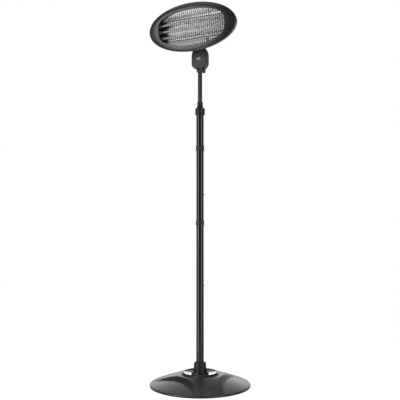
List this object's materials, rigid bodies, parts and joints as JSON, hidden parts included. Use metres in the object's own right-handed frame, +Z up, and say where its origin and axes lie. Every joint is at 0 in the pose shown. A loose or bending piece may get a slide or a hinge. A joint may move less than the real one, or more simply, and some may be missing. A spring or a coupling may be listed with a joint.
{
  "type": "infrared patio heater tower",
  "caption": "Free-standing electric patio heater: an oval quartz heater head with a wire guard, on a telescopic pole with a twist lock and a weighted round base.",
  "frame": {"origin": "on the floor, on the axis of the pole, which is the middle of the round base", "axes": "+Z up the pole, -Y the way the heater faces, +X to the right of someone who looks along +Y at the heater's face"},
  "size_m": [0.5, 0.5, 1.9015],
  "materials": {
    "gunmetal_paint": "satin powder coat, lightly metallic",
    "gloss_black_paint": "gloss enamel",
    "satin_black_paint": "satin paint",
    "black_plastic": "satin moulded plastic",
    "textured_plastic": "fine moulded grain",
    "grey_plastic": "plain moulded plastic",
    "polished_steel": "polished",
    "zinc_steel": "bright zinc plate",
    "wire_steel": "nickel-plated wire",
    "resistance_wire": "dull drawn wire",
    "polished_aluminium": "mirror-bright sheet",
    "cast_iron": "as cast",
    "frosted_quartz": "frosted",
    "white_ceramic": "unglazed",
    "dark_rubber": "matt"
  },
  "bodies": {
    "stand": {"base_cover": "gunmetal_paint", "base_ballast": "cast_iron", "base_floor_plate": "satin_black_paint", "foot_ring": "dark_rubber", "centre_plate": "polished_steel", "pole_socket": "black_plastic", "socket_screw_1": "zinc_steel", "socket_screw_2": "zinc_steel", "socket_screw_3": "zinc_steel", "tie_bolt": "zinc_steel", "tube_plug": "zinc_steel", "lower_tube": "gloss_black_paint", "middle_tube": "gloss_black_paint", "upper_tube": "gloss_black_paint", "tube_joiner_lower": "zinc_steel", "tube_joiner_upper": "zinc_steel", "joiner_screw_lower": "zinc_steel", "joiner_screw_upper": "zinc_steel", "cable_clip_lower": "black_plastic", "cable_clip_upper": "black_plastic", "mast_ferrule": "zinc_steel"},
    "lock_nut_body": {"lock_nut": "black_plastic"},
    "collet_body": {"clamp_collet": "black_plastic"},
    "mast": {"mast_rod": "satin_black_paint", "rod_guide_bush": "black_plastic", "rod_knuckle": "satin_black_paint"},
    "head": {"tilt_bolt": "zinc_steel", "friction_washer_left": "dark_rubber", "friction_washer_right": "dark_rubber", "neck_housing": "textured_plastic", "neck_rear_cover": "textured_plastic", "neck_mount_screw_left": "zinc_steel", "neck_mount_screw_right": "zinc_steel", "badge_plate": "polished_steel", "cable_gland": "black_plastic", "selector_switch": "grey_plastic", "terminal_block": "white_ceramic", "tip_over_switch": "black_plastic", "front_bezel": "gunmetal_paint", "rear_housing": "gunmetal_paint", "wire_grommet": "dark_rubber", "wire_guard": "wire_steel", "guard_tab": "satin_black_paint", "guard_screw": "zinc_steel", "reflector": "polished_aluminium", "tube_bracket_left": "satin_black_paint", "tube_bracket_right": "satin_black_paint", "quartz_tube_top": "frosted_quartz", "heating_core_top": "resistance_wire", "ceramic_cap_left_top": "white_ceramic", "ceramic_cap_right_top": "white_ceramic", "quartz_tube_middle": "frosted_quartz", "heating_core_middle": "resistance_wire", "ceramic_cap_left_middle": "white_ceramic", "ceramic_cap_right_middle": "white_ceramic", "quartz_tube_bottom": "frosted_quartz", "heating_core_bottom": "resistance_wire", "ceramic_cap_left_bottom": "white_ceramic", "ceramic_cap_right_bottom": "white_ceramic"},
    "tilt_knob_body": {"tilt_knob": "black_plastic"}
  },
  "joints": [
    {"name": "lock_nut_turn", "type": "hinge", "parent": "stand", "child": "lock_nut_body", "pos_m": [0, 0, 1.39], "axis": [0, 0, 1], "range_deg": [0, 270]},
    {"name": "mast_swivel", "type": "hinge", "parent": "stand", "child": "collet_body", "pos_m": [0, 0, 1.39], "axis": [0, 0, 1], "continuous": true},
    {"name": "height_slide", "type": "slide", "parent": "collet_body", "child": "mast", "axis": [0, 0, 1], "range_m": [-0.14, 0.2]},
    {"name": "head_tilt", "type": "hinge", "parent": "mast", "child": "head", "pos_m": [0, 0, 1.586], "axis": [1, 0, 0], "range_deg": [-11, 34]},
    {"name": "tilt_knob_turn", "type": "hinge", "parent": "head", "child": "tilt_knob_body", "pos_m": [0.02, 0, 1.586], "axis": [1, 0, 0], "range_deg": [0, 360]}
  ]
}
